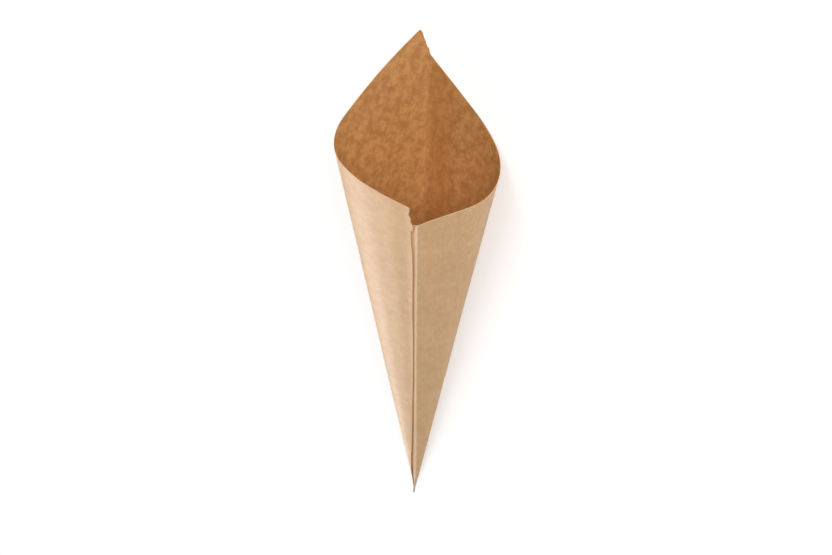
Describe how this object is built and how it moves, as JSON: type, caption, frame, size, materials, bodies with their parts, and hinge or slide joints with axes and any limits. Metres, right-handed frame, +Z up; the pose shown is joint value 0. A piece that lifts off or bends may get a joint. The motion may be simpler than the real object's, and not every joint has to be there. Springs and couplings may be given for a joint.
{
  "type": "paper cone bag",
  "caption": "Long pointed kraft paper cone bag for snacks, with a slanted mouth, a creased back, a glued lap seam with a torn raw edge and a pinched tip, lying on its side.",
  "frame": {"origin": "middle of the lying bag's footprint, on the surface that it rests on", "axes": "+Y along the bag, from its tip to its mouth; +Z up, out of the flat back panel towards the lap seam; +X to the right of a person looking from the tip to the mouth"},
  "size_m": [0.0828, 0.2812, 0.0685],
  "materials": {
    "kraft_paper": "uncoated brown kraft paper, matt outside, faintly glazed inside"
  },
  "bodies": {
    "root": {"paper_cone": "kraft_paper"}
  },
  "joints": []
}
